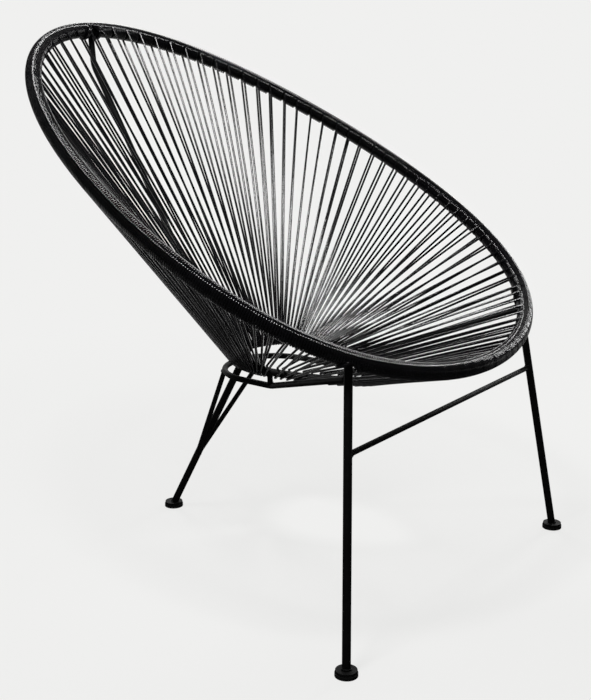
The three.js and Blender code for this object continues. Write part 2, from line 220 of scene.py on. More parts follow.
class StudioSettings(bpy.types.PropertyGroup):
    """Camera, lamps and background."""

    camera_place: lengths("Camera", "Where the camera stands", (-1.5737, -1.2109, 0.8618))
    camera_heading: angle("Heading", "Turn of the camera about the vertical", -53.45)
    camera_pitch: angle("Pitch", "Downward tilt of the camera", 15.3648)
    lens: FloatProperty(name="Lens", description="Focal length", default=65.594, unit="CAMERA")
    shift: shares("Shift", "Shift of the picture, across and up", (0.0003, 0.0055))
    background: colour("Background", "Floor and backdrop", (0.871, 0.871, 0.863))
    mottle: share("Mottle", "How dark the floor's darkest patches are", 0.985)
    backdrop_side: direction("Backdrop side", "Direction in which the backdrop stands", (0.8, 0.6, 0))
    plain_floor: share("Plain floor", "Part of the floor near the chair that takes no shadow", 0.86)
    shadow_fade: lengths("Shadow fade", "Where the shadow fades, from the middle", (0.5, 1.5))
    floor_fade: lengths("Floor fade", "Where the reflected floor turns pale", (0.2, 1.2))
    room_fade: shares("Room fade", "Where the reflected room turns pale, by direction", (0.5, 0.9))
    dark_side: share("Dark side", "How bright the room in front of the chair is in reflections", 0.03)
    room_light: share("Room light", "How much the room lights the chair from all sides", 0.2)
    key_power: power("Key lamp", "Power of the lamp above", 30)
    side_power: power("Side lamp", "Power of the lamp aside", 13)
    back_power: power("Back lamp", "Power of the lamp behind", 14)


def sizes():
    return bpy.context.scene.chair


class ChairSettings(bpy.types.PropertyGroup):
    """All that a user would change."""

    hoop: PointerProperty(type=HoopSizes, name="Hoop")
    ring: PointerProperty(type=RingSizes, name="Seat ring")
    cord: PointerProperty(type=CordSizes, name="Cord")
    frame: PointerProperty(type=FrameSizes, name="Frame")
    foot: PointerProperty(type=FootSizes, name="Feet")
    finish: PointerProperty(type=Finishes, name="Finishes")
    studio: PointerProperty(type=StudioSettings, name="Studio")


# Materials


class Value:
    """A socket of a material, so that sums of sockets can be written as sums."""

    def __init__(self, finish, socket):
        self.finish = finish
        self.socket = socket

    def combine(self, operation, first, second):
        return self.finish.node("ShaderNodeMath", {"operation": operation}, {0: first, 1: second})

    def __add__(self, other):
        return self.combine("ADD", self, other)

    def __radd__(self, other):
        return self.combine("ADD", other, self)

    def __sub__(self, other):
        return self.combine("SUBTRACT", self, other)

    def __rsub__(self, other):
        return self.combine("SUBTRACT", other, self)

    def __mul__(self, other):
        return self.combine("MULTIPLY", self, other)

    def __rmul__(self, other):
        return self.combine("MULTIPLY", other, self)


class Finish:
    """The nodes of one procedural material, or of the world."""

    def __init__(self, owner):
        self.owner = owner
        owner.use_nodes = True
        self.tree = owner.node_tree
        self.tree.nodes.clear()

    def node(self, kind, settings=None, inputs=None, output=0):
        node = self.tree.nodes.new(kind)
        for name, value in (settings or {}).items():
            if name == "stops":
                for element, (place, level) in zip(node.color_ramp.elements, value):
                    element.position = place
                    element.color = (level, level, level, 1)
            else:
                setattr(node, name, value)
        for name, value in (inputs or {}).items():
            if isinstance(value, Value):
                self.tree.links.new(value.socket, node.inputs[name])
            else:
                node.inputs[name].default_value = value
        return Value(self, node.outputs[output]) if node.outputs else None

    def place(self):
        return self.node("ShaderNodeTexCoord", output="Object")

    def noise(self, vector, scale, detail=3.0, roughness=0.5):
        return self.node(
            "ShaderNodeTexNoise", None,
            {"Vector": vector, "Scale": scale, "Detail": detail, "Roughness": roughness},
        )

    def ramp(self, value, low, high):
        return self.node("ShaderNodeValToRGB", {"stops": ((low, 0), (high, 1))}, {"Fac": value})

    def fade(self, value, span, start, end):
        """Goes smoothly from start to end as the value goes across the span."""
        return self.node("ShaderNodeMapRange", {"interpolation_type": "SMOOTHSTEP"}, {
            "Value": value, "From Min": span[0], "From Max": span[1], "To Min": start, "To Max": end,
        })

    def towards(self, place, side):
        """How far a place or direction lies towards one side."""
        return self.node(
            "ShaderNodeVectorMath", {"operation": "DOT_PRODUCT"}, {0: place, 1: side}, output="Value"
        )

    def ray(self, kind):
        return self.node("ShaderNodeLightPath", output=f"Is {kind} Ray")

    def mix_colour(self, factor, first, second):
        return self.node(
            "ShaderNodeMix", {"data_type": "RGBA"}, {0: factor, 6: (*first, 1), 7: (*second, 1)}, output=2
        )

    def bump(self, height, distance, strength=1.0, normal=None):
        inputs = {"Height": height, "Distance": distance, "Strength": strength}
        if normal:
            inputs["Normal"] = normal
        return self.node("ShaderNodeBump", None, inputs)

    def surface(self, inputs):
        shader = self.node("ShaderNodeBsdfPrincipled", None, inputs)
        self.node("ShaderNodeOutputMaterial", None, {"Surface": shader})
        return self.owner


def new_finish(name):
    return Finish(bpy.data.materials.new(name))


def vinyl_cord():
    """Glossy black vinyl: faint die lines along the cord, slow waves, and a little dust."""
    colours = sizes().finish
    finish = new_finish("black_vinyl_cord")
    along_cord = finish.node("ShaderNodeUVMap", {"uv_map": "cord_run"})
    drawn_out = finish.node("ShaderNodeMapping", None, {"Vector": along_cord, "Scale": (1.0, 0.02, 1.0)})
    lines = finish.noise(drawn_out, 26.0, 2.0)
    place = finish.place()
    grain = finish.noise(place, 2600.0, 2.0)
    waves = finish.noise(place, 180.0, 2.0)
    dust = finish.ramp(finish.noise(place, 38.0, 4.0, 0.6), 0.42, 0.78)
    normal = finish.bump(lines, 0.00004, 0.2)
    normal = finish.bump(waves, 0.0003, 0.15, normal)
    return finish.surface({
        "Base Color": finish.mix_colour(dust, colours.cord, colours.cord_dust),
        "Roughness": colours.cord_roughness + 0.06 * dust + 0.03 * grain,
        "Normal": finish.bump(grain, 0.00001, 0.2, normal),
        "IOR": 1.5,
    })


def powder_coat():
    """Satin black powder coat with its fine orange peel, thinner in places."""
    colours = sizes().finish
    finish = new_finish("satin_black_coat")
    place = finish.place()
    peel = finish.noise(place, 1150.0, 3.0, 0.55)
    flow = finish.noise(place, 150.0, 2.0)
    worn = finish.ramp(finish.noise(place, 55.0, 5.0, 0.62), 0.5, 0.8)
    normal = finish.bump(flow, 0.0003, 0.25)
    return finish.surface({
        "Base Color": finish.mix_colour(worn, colours.coat, colours.coat_worn),
        "Metallic": 0.0,
        "Roughness": colours.coat_roughness + 0.08 * peel - 0.06 * worn,
        "Normal": finish.bump(peel, 0.00006, 0.5, normal),
        "IOR": 1.5,
        "Specular IOR Level": 0.15,
    })


def foot_rubber():
    """Matt black rubber with a fine grain, scuffed grey near the floor."""
    colours = sizes().finish
    finish = new_finish("matt_black_rubber")
    place = finish.place()
    grain = finish.noise(place, 1900.0, 3.0, 0.6)
    scuffs = finish.noise(place, 210.0, 5.0, 0.65)
    height = finish.node("ShaderNodeSeparateXYZ", None, {"Vector": place}, output="Z")
    raised = finish.node("ShaderNodeMapRange", None, {"Value": height, "From Min": 0.0, "From Max": 0.004})
    scuffed = finish.ramp(scuffs, 0.45, 0.75) * (1 - raised)
    return finish.surface({
        "Base Color": finish.mix_colour(scuffed, colours.rubber, colours.rubber_grey),
        "Roughness": 0.72 + 0.14 * grain,
        "Normal": finish.bump(grain, 0.00005, 0.5),
        "IOR": 1.45,
        "Specular IOR Level": 0.3,
    })


def finish_of(slot):
    """The material of one of the record's slots, made once."""
    makers = {"black_cord": vinyl_cord, "powder_coated_steel": powder_coat, "foot_rubber": foot_rubber}
    for material in bpy.data.materials:
        if material.get("finish_for") == slot:
            return material
    material = makers[slot]()
    material["finish_for"] = slot
    return material


# Paths


class ClosedPath:
    """A closed line that is measured once, so that places on it can be given as lengths."""

    def __init__(self, points):
        self.points = np.vstack([points, points[:1]])
        steps = np.linalg.norm(np.diff(self.points, axis=0), axis=1)
        self.lengths = np.concatenate([[0], np.cumsum(steps)])
        self.total = self.lengths[-1]

    def at(self, place):
        place = np.asarray(place) % self.total
        return np.stack([np.interp(place, self.lengths, self.points[:, i]) for i in range(3)], -1)

    def along(self, place):
        near = 0.0005
        return unit(self.at(place + near) - self.at(place - near))


def unit(vectors):
    vectors = np.asarray(vectors, float)
    return vectors / np.linalg.norm(vectors, axis=-1, keepdims=True)


def turns_of(count):
    return np.linspace(0, 2 * np.pi, count, endpoint=False)


def hoop_points(turns):
    hoop = sizes().hoop
    outline = 1 + sum(part * np.cos((i + 1) * turns) for i, part in enumerate(hoop.outline))
    along = hoop.half_length * np.cos(turns)
    lift = hoop.lift * np.cos(turns) ** 3
    return np.stack([
        hoop.half_width * np.sin(turns) * outline,
        along * math.cos(hoop.tilt) - lift * math.sin(hoop.tilt),
        hoop.centre_height + along * math.sin(hoop.tilt) + lift * math.cos(hoop.tilt),
    ], -1)


def ring_points(turns):
    ring = sizes().ring
    along = ring.half_length * np.cos(turns)
    return np.stack([
        ring.half_width * np.sin(turns) * (1 + ring.egg_share * np.cos(turns)),
        ring.centre_depth + along * math.cos(ring.tilt),
        sizes().frame.loop_height + ring.rise + along * math.sin(ring.tilt),
    ], -1)


def point_at_height(line, height):
    foot, top = line
    return foot + (top - foot) * (height - foot[2]) / (top[2] - foot[2])


def foot_top():
    foot = sizes().foot
    return foot.pad_height + foot.plate_height


def front_leg_line(side):
    rods = sizes().frame
    on_hoop = hoop_points(np.array(rods.leg_rim_angle)) + (0, rods.leg_inset, -rods.leg_drop)
    foot = np.array((side * rods.foot_half_span, rods.front_foot_depth, foot_top() / 2))
    return foot, on_hoop * (side, 1, 1)


def rear_leg_line():
    rods, ring = sizes().frame, sizes().ring
    ring_rear = ring_points(np.array(0.0))
    top = ring_rear - (0, rods.rear_leg_inset, ring.rod_diameter / 2)
    return np.array((0, rods.rear_foot_depth, foot_top() / 2)), top


def loop_turn_depth():
    """Depth of the middle of the loop's turn, which passes just behind the rear leg."""
    rods = sizes().frame
    line = rear_leg_line()
    lean = unit(line[1] - line[0])[2]
    behind = (rods.leg_diameter / 2 + rods.loop_diameter / 2 + sizes().foot.gap) / lean
    return point_at_height(line, rods.loop_height)[1] + behind - rods.loop_half_width


def loop_turn_point(turn):
    rods = sizes().frame
    return np.array((
        rods.loop_half_width * math.sin(turn),
        loop_turn_depth() + rods.loop_half_width * math.cos(turn),
        rods.loop_height,
    ))


def loop_corner(side):
    rods = sizes().frame
    return np.array((side * rods.loop_half_width, rods.loop_corner_depth, rods.loop_height))


def spine_corners():
    rods = sizes().frame
    hoop_top = hoop_points(np.array(0.0))
    return [
        hoop_top - (0, rods.spine_top_inset, rods.spine_top_drop),
        np.array((0, *rods.spine_upper)),
        np.array((0, *rods.spine_lower)),
        ring_points(np.array(0.0)),
    ]


# Modelling


def start_piece():
    if bpy.context.object and bpy.context.object.mode != "OBJECT":
        bpy.ops.object.mode_set(mode="OBJECT")
    bpy.ops.object.select_all(action="DESELECT")


def place_in_mesh():
    bpy.ops.object.transform_apply(location=True, rotation=True, scale=True)


def turned_to(heading):
    return Vector(heading).to_track_quat("Z", "Y").to_euler()


def select_points(piece, wanted):
    """Selects the points of the piece in edit mode whose place passes the test."""
    bpy.ops.mesh.select_all(action="DESELECT")
    bpy.ops.object.mode_set(mode="OBJECT")
    for vertex in piece.data.vertices:
        vertex.select = bool(wanted(vertex.co))
    bpy.ops.object.mode_set(mode="EDIT")


def dress(piece, name, slot, nodes=()):
    """Names a finished piece, gives it its finish, and hides the CAD nodes that it stands for."""
    piece.name = name
    piece.data.name = name
    piece.data.materials.clear()
    piece.data.materials.append(finish_of(slot))
    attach(piece, "root")
    if nodes:
        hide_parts(*nodes)


class RodBender:
    """A round rod that is fed straight on, or bent about a point, from its first section."""

    def __init__(self, start, heading, diameter):
        start_piece()
        bpy.ops.mesh.primitive_circle_add(
            vertices=ROD_SIDES, radius=diameter / 2, fill_type="NOTHING",
            location=start, rotation=turned_to(heading),
        )
        self.piece = bpy.context.object
        place_in_mesh()
        bpy.ops.object.mode_set(mode="EDIT")
        bpy.ops.mesh.select_all(action="SELECT")
        self.start = np.array(start, float)
        self.here = np.array(start, float)
        self.end_reach = diameter * 0.52

    def feed_to(self, point):
        step = np.asarray(point, float) - self.here
        bpy.ops.mesh.extrude_region_move(TRANSFORM_OT_translate={"value": step})
        self.here = self.here + step
        return self

    def bend_about(self, centre, axis, turn, steps):
        # The spin operator turns the other way about its axis.
        bpy.ops.mesh.spin(steps=steps, angle=turn, center=centre, axis=-np.asarray(axis))
        self.here = centre + rotate(self.here - centre, axis, turn)
        return self

    def bend_through(self, corner, ahead, radius):
        """Feeds to a corner, bends round it to the next direction, and stops at the bend's end."""
        arriving = unit(np.asarray(corner) - self.here)
        leaving = unit(np.asarray(ahead) - corner)
        turn = math.acos(float(np.clip(arriving @ leaving, -1, 1)))
        trim = radius * math.tan(turn / 2)
        self.feed_to(corner - arriving * trim)
        axis = unit(np.cross(arriving, leaving))
        centre = self.here + radius * np.cross(axis, arriving)
        return self.bend_about(centre, axis, turn, BEND_STEPS)

    def finish(self):
        """Closes both ends, rounds their edges and shades the rod."""
        bpy.ops.mesh.edge_face_add()
        select_points(self.piece, lambda co: np.linalg.norm(co - Vector(self.start)) < self.end_reach)
        bpy.ops.mesh.edge_face_add()
        bpy.ops.mesh.select_all(action="SELECT")
        bpy.ops.mesh.normals_make_consistent(inside=False)
        bpy.ops.mesh.select_mode(type="FACE")
        bpy.ops.mesh.select_all(action="DESELECT")
        bpy.ops.object.mode_set(mode="OBJECT")
        for face in self.piece.data.polygons:
            face.select = len(face.vertices) > 4
        bpy.ops.object.mode_set(mode="EDIT")
        bpy.ops.mesh.bevel(offset=sizes().frame.end_rounding, segments=3, affect="EDGES")
        bpy.ops.mesh.select_mode(type="VERT")
        bpy.ops.object.mode_set(mode="OBJECT")
        bpy.ops.object.shade_smooth_by_angle(angle=math.radians(50))
        return self.piece


def rotate(vector, axis, turn):
    axis = unit(axis)
    vector = np.asarray(vector, float)
    return (
        vector * math.cos(turn) + np.cross(axis, vector) * math.sin(turn)
        + axis * (axis @ vector) * (1 - math.cos(turn))
    )


def straight_rod(start, end, diameter):
    start, end = np.asarray(start, float), np.asarray(end, float)
    return RodBender(start, unit(end - start), diameter).feed_to(end).finish()


def closed_tube(points, diameter):
    """A closed tube through the points, whose sections stand square to the line."""
    headings = unit(np.roll(points, -1, axis=0) - np.roll(points, 1, axis=0))
    bender = RodBender(points[0], headings[0], diameter)
    for i in range(len(points)):
        ahead = (i + 1) % len(points)
        axis = np.cross(headings[i], headings[ahead])
        turn = math.asin(float(np.linalg.norm(axis)))
        axis = unit(axis)
        step = points[ahead] - points[i]
        step = step - axis * (axis @ step)
        centre = points[i] + step / 2 + np.cross(axis, step) / 2 / math.tan(turn / 2)
        bender.bend_about(centre, axis, turn, 1)
        bpy.ops.transform.translate(value=points[ahead] - bender.here)
        bender.here = points[ahead]
    seam_gap = 0.0002
    bpy.ops.mesh.select_all(action="SELECT")
    bpy.ops.mesh.remove_doubles(threshold=seam_gap)
    bpy.ops.mesh.normals_make_consistent(inside=False)
    bpy.ops.object.mode_set(mode="OBJECT")
    bpy.ops.object.shade_smooth()
    return bender.piece


def weld_bead(point, heading, rod_diameter):
    """A rippled ring of weld round a rod where it meets another."""
    height = sizes().frame.weld_height
    start_piece()
    bpy.ops.mesh.primitive_torus_add(
        major_segments=36, minor_segments=10, major_radius=rod_diameter / 2 + height * 0.25,
        minor_radius=height, location=point, rotation=turned_to(heading),
    )
    bead = bpy.context.object
    place_in_mesh()
    middle = Vector(point)
    axis = Vector(heading).normalized()
    side = axis.orthogonal().normalized()
    for vertex in bead.data.vertices:
        arm = vertex.co - middle
        flat = arm - axis * arm.dot(axis)
        turn = math.atan2(flat.dot(axis.cross(side)), flat.dot(side))
        ripple = 0.14 * math.sin(14 * turn) + 0.1 * math.sin(3 * turn + point[2] * 900)
        core = flat.normalized() * (rod_diameter / 2)
        vertex.co = middle + core + (arm - core) * (1 + ripple)
    bpy.ops.object.shade_smooth()
    return bead


def joined(pieces):
    start_piece()
    for piece in pieces:
        piece.select_set(True)
    bpy.context.view_layer.objects.active = pieces[0]
    bpy.ops.object.join()
    return bpy.context.object


# Cord


class Stringing:
    """Where the cord winds round the hoop, leaves it, and turns round the seat ring."""

    def __init__(self):
        cord = sizes().cord
        self.hoop = ClosedPath(hoop_points(turns_of(12000)))
        self.ring = ClosedPath(ring_points(turns_of(6000)))
        self.radius = (sizes().hoop.tube_diameter + cord.diameter) / 2
        self.hook_radius = (sizes().ring.rod_diameter + cord.diameter) / 2 + cord.hook_room
        self.hoop_places = self.strung((np.arange(cord.pairs) + 0.5) / cord.pairs)
        half = self.half_ring_places()
        self.ring_places = np.concatenate([half, self.ring.total - half[::-1]])
        self.turns = round(self.hoop.total / cord.turn_pitch)
        self.pitch = self.hoop.total / self.turns
        self.plan_turns(self.find_rods())

    def strung(self, parts):
        """Lengths along the hoop at which the pairs leave it, from even parts of it."""
        crowding = sizes().cord.rim_crowding / (2 * np.pi) * np.sin(2 * np.pi * parts)
        return self.hoop.total * (parts + crowding)

    def half_ring_places(self):
        cord, rods = sizes().cord, sizes().frame
        turn_lengths = self.ring.lengths
        turns = np.linspace(0, 2 * np.pi, len(turn_lengths))
        post = np.interp(rods.post_ring_angle, turns, turn_lengths)
        least = (rods.leg_diameter + cord.diameter) / 2 + cord.rod_room
        places = []
        for pair in range(cord.pairs // 2):
            turn = 2 * np.pi * (pair + 0.5) / cord.pairs
            gathered = turn + sum(part * np.sin((i + 1) * turn) for i, part in enumerate(cord.ring_crowding))
            place = np.interp(gathered, turns, turn_lengths)
            away = place - post
            place += math.copysign(cord.post_shift * math.exp(-abs(away) / cord.post_reach), away)
            places.append(max(place, least))
            least = places[-1] + cord.least_spacing
        return np.array(places)

    def sections(self, places):
        """Middle of the hoop at the given lengths, with the directions up and inwards there."""
        total = self.hoop.total
        known = np.concatenate([[0], self.hoop_places, [total]])
        on_ring = np.concatenate([[0], self.ring_places, [self.ring.total]])
        middles = self.hoop.at(places)
        heading = self.hoop.along(places)
        target = self.ring.at(np.interp(np.asarray(places) % total, known, on_ring))
        up = unit(np.cross(unit(target - middles), heading))
        up = up * np.sign(up[..., 2:3])
        return middles, up, np.cross(heading, up)

    def on_winding(self, turns):
        """Points on the cord's middle line where it is wound: whole turns are on the strand side's top."""
        turns = np.asarray(turns, float)
        aside, lift = self.round_the_rods(turns)
        middles, up, inward = self.sections(self.place_of(turns) + aside)
        angles = 2 * np.pi * turns[..., None]
        return middles + (self.radius + lift)[..., None] * (np.cos(angles) * up + np.sin(angles) * inward)

    def find_rods(self):
        """Where the spine and the front legs reach into the winding: length, turn and diameter."""
        rods = sizes().frame
        reaching = [(spine_corners()[:2], rods.spine_diameter)]
        for side in SIDES.values():
            reaching.append((front_leg_line(side)[::-1], rods.leg_diameter))
        found = []
        upper_share, search_reach = 0.08, 0.03
        every = np.linspace(0, self.hoop.total, 4000)
        for (top, below), diameter in reaching:
            line = top + (below - top) * np.linspace(0, upper_share, 200)[:, None]
            nearest = every[np.linalg.norm(self.hoop.at(every) - top, axis=1).argmin()]
            near = nearest + np.linspace(-search_reach, search_reach, 241)
            gaps = np.linalg.norm(self.hoop.at(near)[None] - line[:, None], axis=2)
            row = int(np.abs(gaps.min(axis=1) - self.radius).argmin())
            place = float(near[gaps[row].argmin()])
            middle, up, inward = self.sections(np.array(place))
            arm = line[row] - middle
            found.append((place, math.atan2(arm @ inward, arm @ up) / (2 * math.pi), diameter))
        return found

    def plan_turns(self, found):
        """Turns and lengths of the rods, chosen so that each rod stands midway between two turns."""
        cord = sizes().cord
        start, angle, _ = found[0]
        first = angle + 0.5
        self.rods = []
        known = [(first, start), (first + self.turns, start + self.hoop.total)]
        for place, angle, diameter in found:
            ahead = (place - start) % self.hoop.total
            turn = round(first + ahead / self.pitch - angle - 0.5) + angle + 0.5
            known.append((turn, start + ahead))
            room = (diameter + cord.diameter) / 2 + cord.rod_room
            moved = math.ceil(room / self.pitch - 0.5)
            self.rods.append((turn, moved))
            if turn == first:
                self.rods.append((first + self.turns, moved))
        known = sorted(set(known))
        self.known_turns = [turn for turn, _ in known]
        self.known_places = [place for _, place in known]
        self.first_turn, self.last_turn = first, first + self.turns

    def place_of(self, turn):
        """Length along the hoop that the cord has reached after so many turns."""
        return np.interp(turn, self.known_turns, self.known_places)

    def round_the_rods(self, turns):
        """How far the cord steps aside, over its neighbours, where a rod is in its way."""
        cord = sizes().cord
        thick = cord.diameter * cord.lap_height
        aside = np.zeros_like(turns)
        lift = np.zeros_like(turns)
        for rod, moved in self.rods:
            offset = turns - rod
            crossing = np.floor(offset) + 0.5
            step = np.clip((cord.step_reach - np.abs(offset - crossing)) / cord.step_length, 0, 1)
            step = step * step * (3 - 2 * step)
            away = np.abs(crossing) + step * (moved + 1)
            standing = np.maximum(np.floor(away) + 0.5, moved + 0.5)
            over = np.maximum(thick ** 2 - ((away - standing) * self.pitch) ** 2, 0) ** 0.5
            inside = np.abs(crossing) < moved
            aside += np.where(inside, np.sign(crossing) * step * (moved + 1) * self.pitch, 0)
            lift += np.where(inside, over, 0)
        return aside, lift

    def leaving_turns(self):
        """The turn at which each pair leaves the top of the winding, clear of the rods."""
        just_before_return = 0.499
        lap_turns = 3
        whole = np.arange(math.ceil(self.first_turn), math.floor(self.last_turn))
        free = np.ones(len(whole), bool)
        for rod, moved in self.rods:
            crossing = np.abs(np.floor(whole + just_before_return - rod) + 0.5)
            beside_rod = np.abs(crossing - moved - 0.5) < 0.1
            free &= beside_rod | (crossing > moved + lap_turns)
        whole = whole[free]
        places = self.place_of(whole)
        return [int(whole[np.abs(places - place).argmin()]) for place in self.hoop_places]

    def hairpin(self, pair, turn):
        """A strand over the ring and back underneath it, from one turn's top to its bottom."""
        over, under = self.on_winding(np.array((turn, turn + 0.5)))
        centre = self.ring.at(self.ring_places[pair])
        ring_along = self.ring.along(self.ring_places[pair])
        inward = unit(centre - (over + under) / 2)
        up = unit(np.cross(inward, ring_along))
        up = up * np.sign(up[2])
        inner = np.cross(ring_along, up)
        inner = inner * np.sign(inner @ inward)
        angles = np.linspace(0, np.pi, HOOK_STEPS + 1)
        hook = centre + self.hook_radius * (np.cos(angles)[:, None] * up + np.sin(angles)[:, None] * inner)
        cord = sizes().cord
        before = hook[0] + cord.hook_lead * unit(over - hook[0])
        after = hook[-1] + cord.hook_lead * unit(under - hook[-1])
        bent = rounded(np.vstack([before[None], hook, after[None]]), 2)
        steps = np.array(cord.strand_steps)[:, None]
        way_in = over + steps * unit(before - over)
        way_out = under + steps[::-1] * unit(after - under)
        return np.vstack([way_in, bent, way_out])

    def run(self, panel):
        """The cord's middle line on one panel."""
        cord = sizes().cord
        each = cord.pairs // cord.panels
        pairs = range(panel * each, (panel + 1) * each)
        leaving = self.leaving_turns()
        ends = []
        for edge in (panel, panel + 1):
            if edge == 0:
                ends.append(self.first_turn)
            elif edge == cord.panels:
                ends.append(self.last_turn)
            else:
                before, after = leaving[edge * each - 1] + 0.5, leaving[edge * each]
                ends.append((before + after) / 2 + 0.25)
        parts = []
        here = ends[0] + cord.butt_room
        for pair in pairs:
            parts.append(self.coils(here, leaving[pair]))
            parts.append(self.hairpin(pair, leaving[pair]))
            here = leaving[pair] + 0.5
        parts.append(self.coils(here, ends[1] - cord.butt_room))
        return np.vstack(parts)

    def coils(self, first, last):
        steps = max(2, round((last - first) * STEPS_PER_TURN))
        return self.on_winding(np.linspace(first, last, steps + 1))


def rounded(points, times):
    """Cuts the corners of a line a few times over, and keeps its ends."""
    for _ in range(times):
        first, second = points[:-1], points[1:]
        cut = np.stack([first * 0.75 + second * 0.25, first * 0.25 + second * 0.75], 1).reshape(-1, 3)
        points = np.vstack([points[:1], cut, points[-1:]])
    return points


def cord_mesh(name, points, diameter):
    """A round cord along the points, with a map that runs round and along it."""
    headings = np.empty_like(points)
    headings[1:-1] = unit(unit(points[1:-1] - points[:-2]) + unit(points[2:] - points[1:-1]))
    headings[0] = unit(points[1] - points[0])
    headings[-1] = unit(points[-1] - points[-2])
    across = np.empty_like(points)
    side = np.cross(headings[0], (0.0, 0.0, 1.0))
    for i, heading in enumerate(headings):
        side = unit(side - heading * (side @ heading))
        across[i] = side
    other = np.cross(headings, across)
    angles = turns_of(CORD_SIDES)[None, :, None]
    arms = np.cos(angles) * across[:, None] + np.sin(angles) * other[:, None]
    rings = points[:, None] + arms * diameter / 2
    corners = np.arange(CORD_SIDES)
    ahead = (corners + 1) % CORD_SIDES
    rows = np.arange(len(points) - 1)[:, None]
    first = rows * CORD_SIDES
    second = first + CORD_SIDES
    walls = np.stack([first + corners, first + ahead, second + ahead, second + corners], -1)
    caps = [corners[::-1].tolist(), (second[-1] + corners).tolist()]
    mesh = bpy.data.meshes.new(name)
    mesh.from_pydata(rings.reshape(-1, 3).tolist(), [], walls.reshape(-1, 4).tolist() + caps)
    steps = np.linalg.norm(np.diff(points, axis=0), axis=1)
    run = np.concatenate([[0], np.cumsum(steps)]) / (math.pi * diameter)
    around = np.stack([corners, corners + 1, corners + 1, corners], -1) / CORD_SIDES
    along = run[rows + (0, 0, 1, 1)][:, None]
    flat = np.zeros((len(mesh.loops), 2))
    flat[:walls.size] = np.stack(np.broadcast_arrays(around, along), -1).reshape(-1, 2)
    mesh.uv_layers.new(name="cord_run").data.foreach_set("uv", flat.ravel())
    mesh.polygons.foreach_set("use_smooth", [True] * len(mesh.polygons))
    mesh.update()
    piece = bpy.data.objects.new(name, mesh)
    bpy.context.scene.collection.objects.link(piece)
    return piece


# Operators


class CHAIR_OT_stage(bpy.types.Operator):
    """Sets up the camera, the lamps, the floor and the backdrop"""

    bl_idname = "chair.stage"
    bl_label = "Studio"

    def execute(self, context):
        studio = context.scene.chair.studio
        self.camera(studio)
        self.lamps(studio)
        self.backdrop(studio)
        context.scene.view_settings.view_transform = "Standard"
        return {"FINISHED"}

    def camera(self, studio):
        start_piece()
        bpy.ops.object.camera_add(
            location=studio.camera_place,
            rotation=(math.pi / 2 - studio.camera_pitch, 0, studio.camera_heading),
        )
        camera = bpy.context.object
        camera.name = "photo_camera"
        camera.data.lens = studio.lens
        camera.data.sensor_width = 36
        camera.data.shift_x, camera.data.shift_y = studio.shift
        camera.data.clip_start = 0.05
        bpy.context.scene.camera = camera

    def lamp(self, name, place, target, size, power):
        start_piece()
        aim = Vector(target) - Vector(place)
        bpy.ops.object.light_add(
            type="AREA", location=place, rotation=aim.to_track_quat("-Z", "Y").to_euler()
        )
        lamp = bpy.context.object
        lamp.name = name
        lamp.data.shape = "RECTANGLE"
        lamp.data.size, lamp.data.size_y = size
        lamp.data.energy = power

    def lamps(self, studio):
        """Each lamp: its place, the point that it is aimed at, its width and height, and its power."""
        self.lamp("key_lamp", (-0.7, -0.15, 2.2), (-0.1, -0.05, 0.5), (0.35, 0.3), studio.key_power)
        self.lamp("side_lamp", (1.9, -0.3, 0.9), (-0.1, 0, 0.5), (0.35, 1.0), studio.side_power)
        self.lamp("back_lamp", (0.9, 1.3, 1.9), (0, 0, 0.55), (0.7, 0.3), studio.back_power)

    def backdrop(self, studio):
        start_piece()
        bpy.ops.mesh.primitive_plane_add(size=12, location=(0, 0, 0))
        floor = bpy.context.object
        floor.name = "studio_floor"
        bpy.ops.object.mode_set(mode="EDIT")
        bpy.ops.mesh.select_all(action="SELECT")
        bpy.ops.mesh.subdivide(number_cuts=5)
        bpy.ops.object.mode_set(mode="OBJECT")
        floor.data.materials.append(self.floor_paint(studio))
        bpy.context.scene.world = self.room(studio)

    def floor_paint(self, studio):
        """Pale paper: it keeps a faint shadow near the chair and meets the backdrop without an edge."""
        finish = new_finish("pale_floor")
        place = finish.place()
        camera, glossy = finish.ray("Camera"), finish.ray("Glossy")
        away = finish.node("ShaderNodeVectorMath", {"operation": "LENGTH"}, {0: place}, output="Value")
        plain = finish.fade(away, studio.shadow_fade, studio.plain_floor, 1.0)
        behind = finish.towards(place, studio.backdrop_side)
        lit_part = finish.fade(behind, studio.floor_fade, studio.dark_side, 1.0)
        patches = [part * studio.mottle for part in studio.background]
        mottled = finish.mix_colour(finish.noise(place, 3.0), studio.background, patches)
        paint = finish.node("ShaderNodeBsdfDiffuse", None, {"Color": mottled})
        seen = finish.mix_colour(camera + glossy * lit_part, (0, 0, 0), studio.background)
        lit = finish.node("ShaderNodeEmission", None, {"Color": seen})
        both = finish.node("ShaderNodeMixShader", None, {"Fac": camera * plain + glossy, 1: paint, 2: lit})
        finish.node("ShaderNodeOutputMaterial", None, {"Surface": both})
        return finish.owner

    def room(self, studio):
        """A pale backdrop behind the chair; the room in front of it reflects as dark."""
        finish = Finish(bpy.data.worlds.new("pale_room"))
        camera, glossy = finish.ray("Camera"), finish.ray("Glossy")
        behind = finish.towards(
            finish.node("ShaderNodeTexCoord", output="Generated"), studio.backdrop_side
        )
        lit_part = finish.fade(behind, studio.room_fade, studio.dark_side, 1.0)
        others = (1 - camera) * (1 - glossy) * studio.room_light
        seen = finish.mix_colour(camera + glossy * lit_part + others, (0, 0, 0), studio.background)
        light = finish.node("ShaderNodeBackground", None, {"Color": seen})
        finish.node("ShaderNodeOutputWorld", None, {"Surface": light})
        return finish.owner


